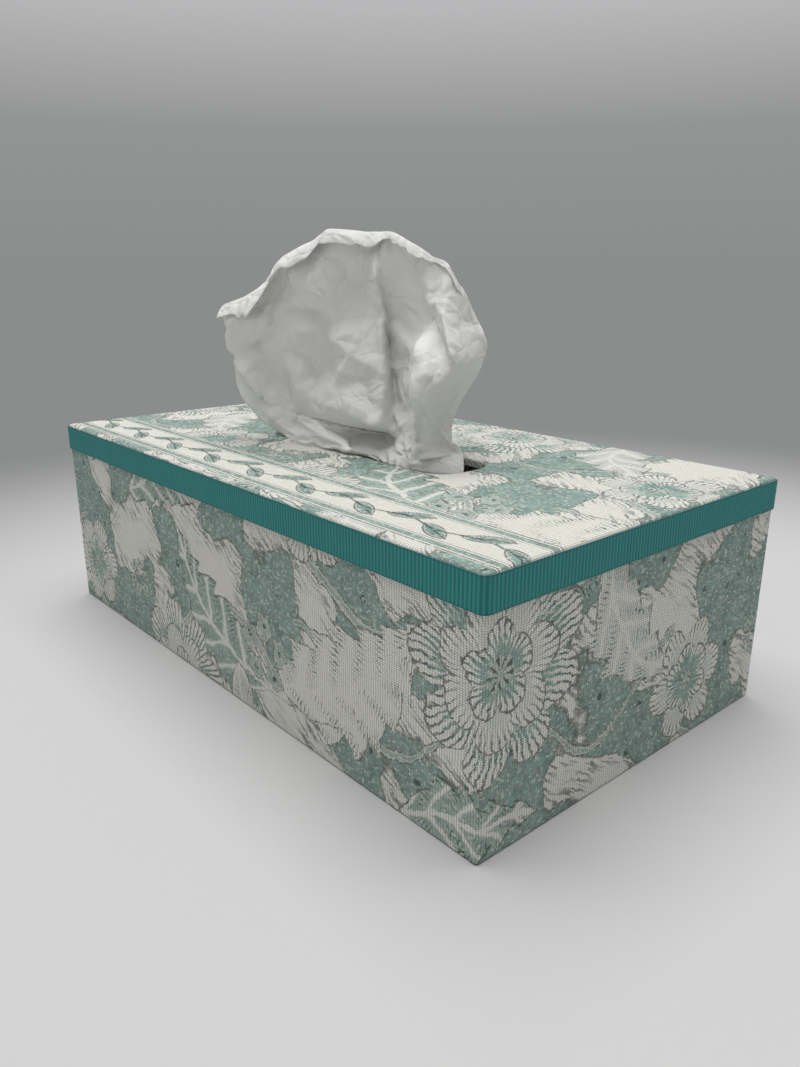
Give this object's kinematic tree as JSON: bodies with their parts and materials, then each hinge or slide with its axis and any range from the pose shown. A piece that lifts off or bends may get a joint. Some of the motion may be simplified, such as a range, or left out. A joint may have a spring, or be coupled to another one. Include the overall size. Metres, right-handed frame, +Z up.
{
  "type": "tissue box",
  "caption": "Low rectangular tissue box cover in printed canvas with a ribbed ribbon round the top, standing over a carton, with a tissue drawn up through its slot.",
  "frame": {"origin": "on the table, under the middle of the cover", "axes": "+X along the box and its slot, +Y to the back, +Z up through the slot"},
  "size_m": [0.26, 0.1438, 0.1627],
  "materials": {
    "grey_board": "uncoated grey board",
    "printed_canvas": "off-white plain weave canvas printed in sage green",
    "grosgrain": "teal ribbed ribbon",
    "lining_paper": "uncoated cream paper",
    "tissue_paper": "soft white tissue",
    "carton_card": "plain white-faced card",
    "film": "thin clear film"
  },
  "bodies": {
    "carton": {"tissue_carton": "carton_card", "carton_film": "film", "tissue_stack": "tissue_paper"},
    "cover": {"top_board": "grey_board", "front_wall": "grey_board", "back_wall": "grey_board", "left_wall": "grey_board", "right_wall": "grey_board", "side_fabric": "printed_canvas", "top_fabric": "printed_canvas", "ribbon": "grosgrain", "top_lining": "lining_paper", "side_lining": "lining_paper", "popped_up_tissue": "tissue_paper"}
  },
  "joints": [
    {"name": "cover_lift", "type": "slide", "parent": "carton", "child": "cover", "axis": [0, 0, 1], "range_m": [0, 0.08]}
  ]
}
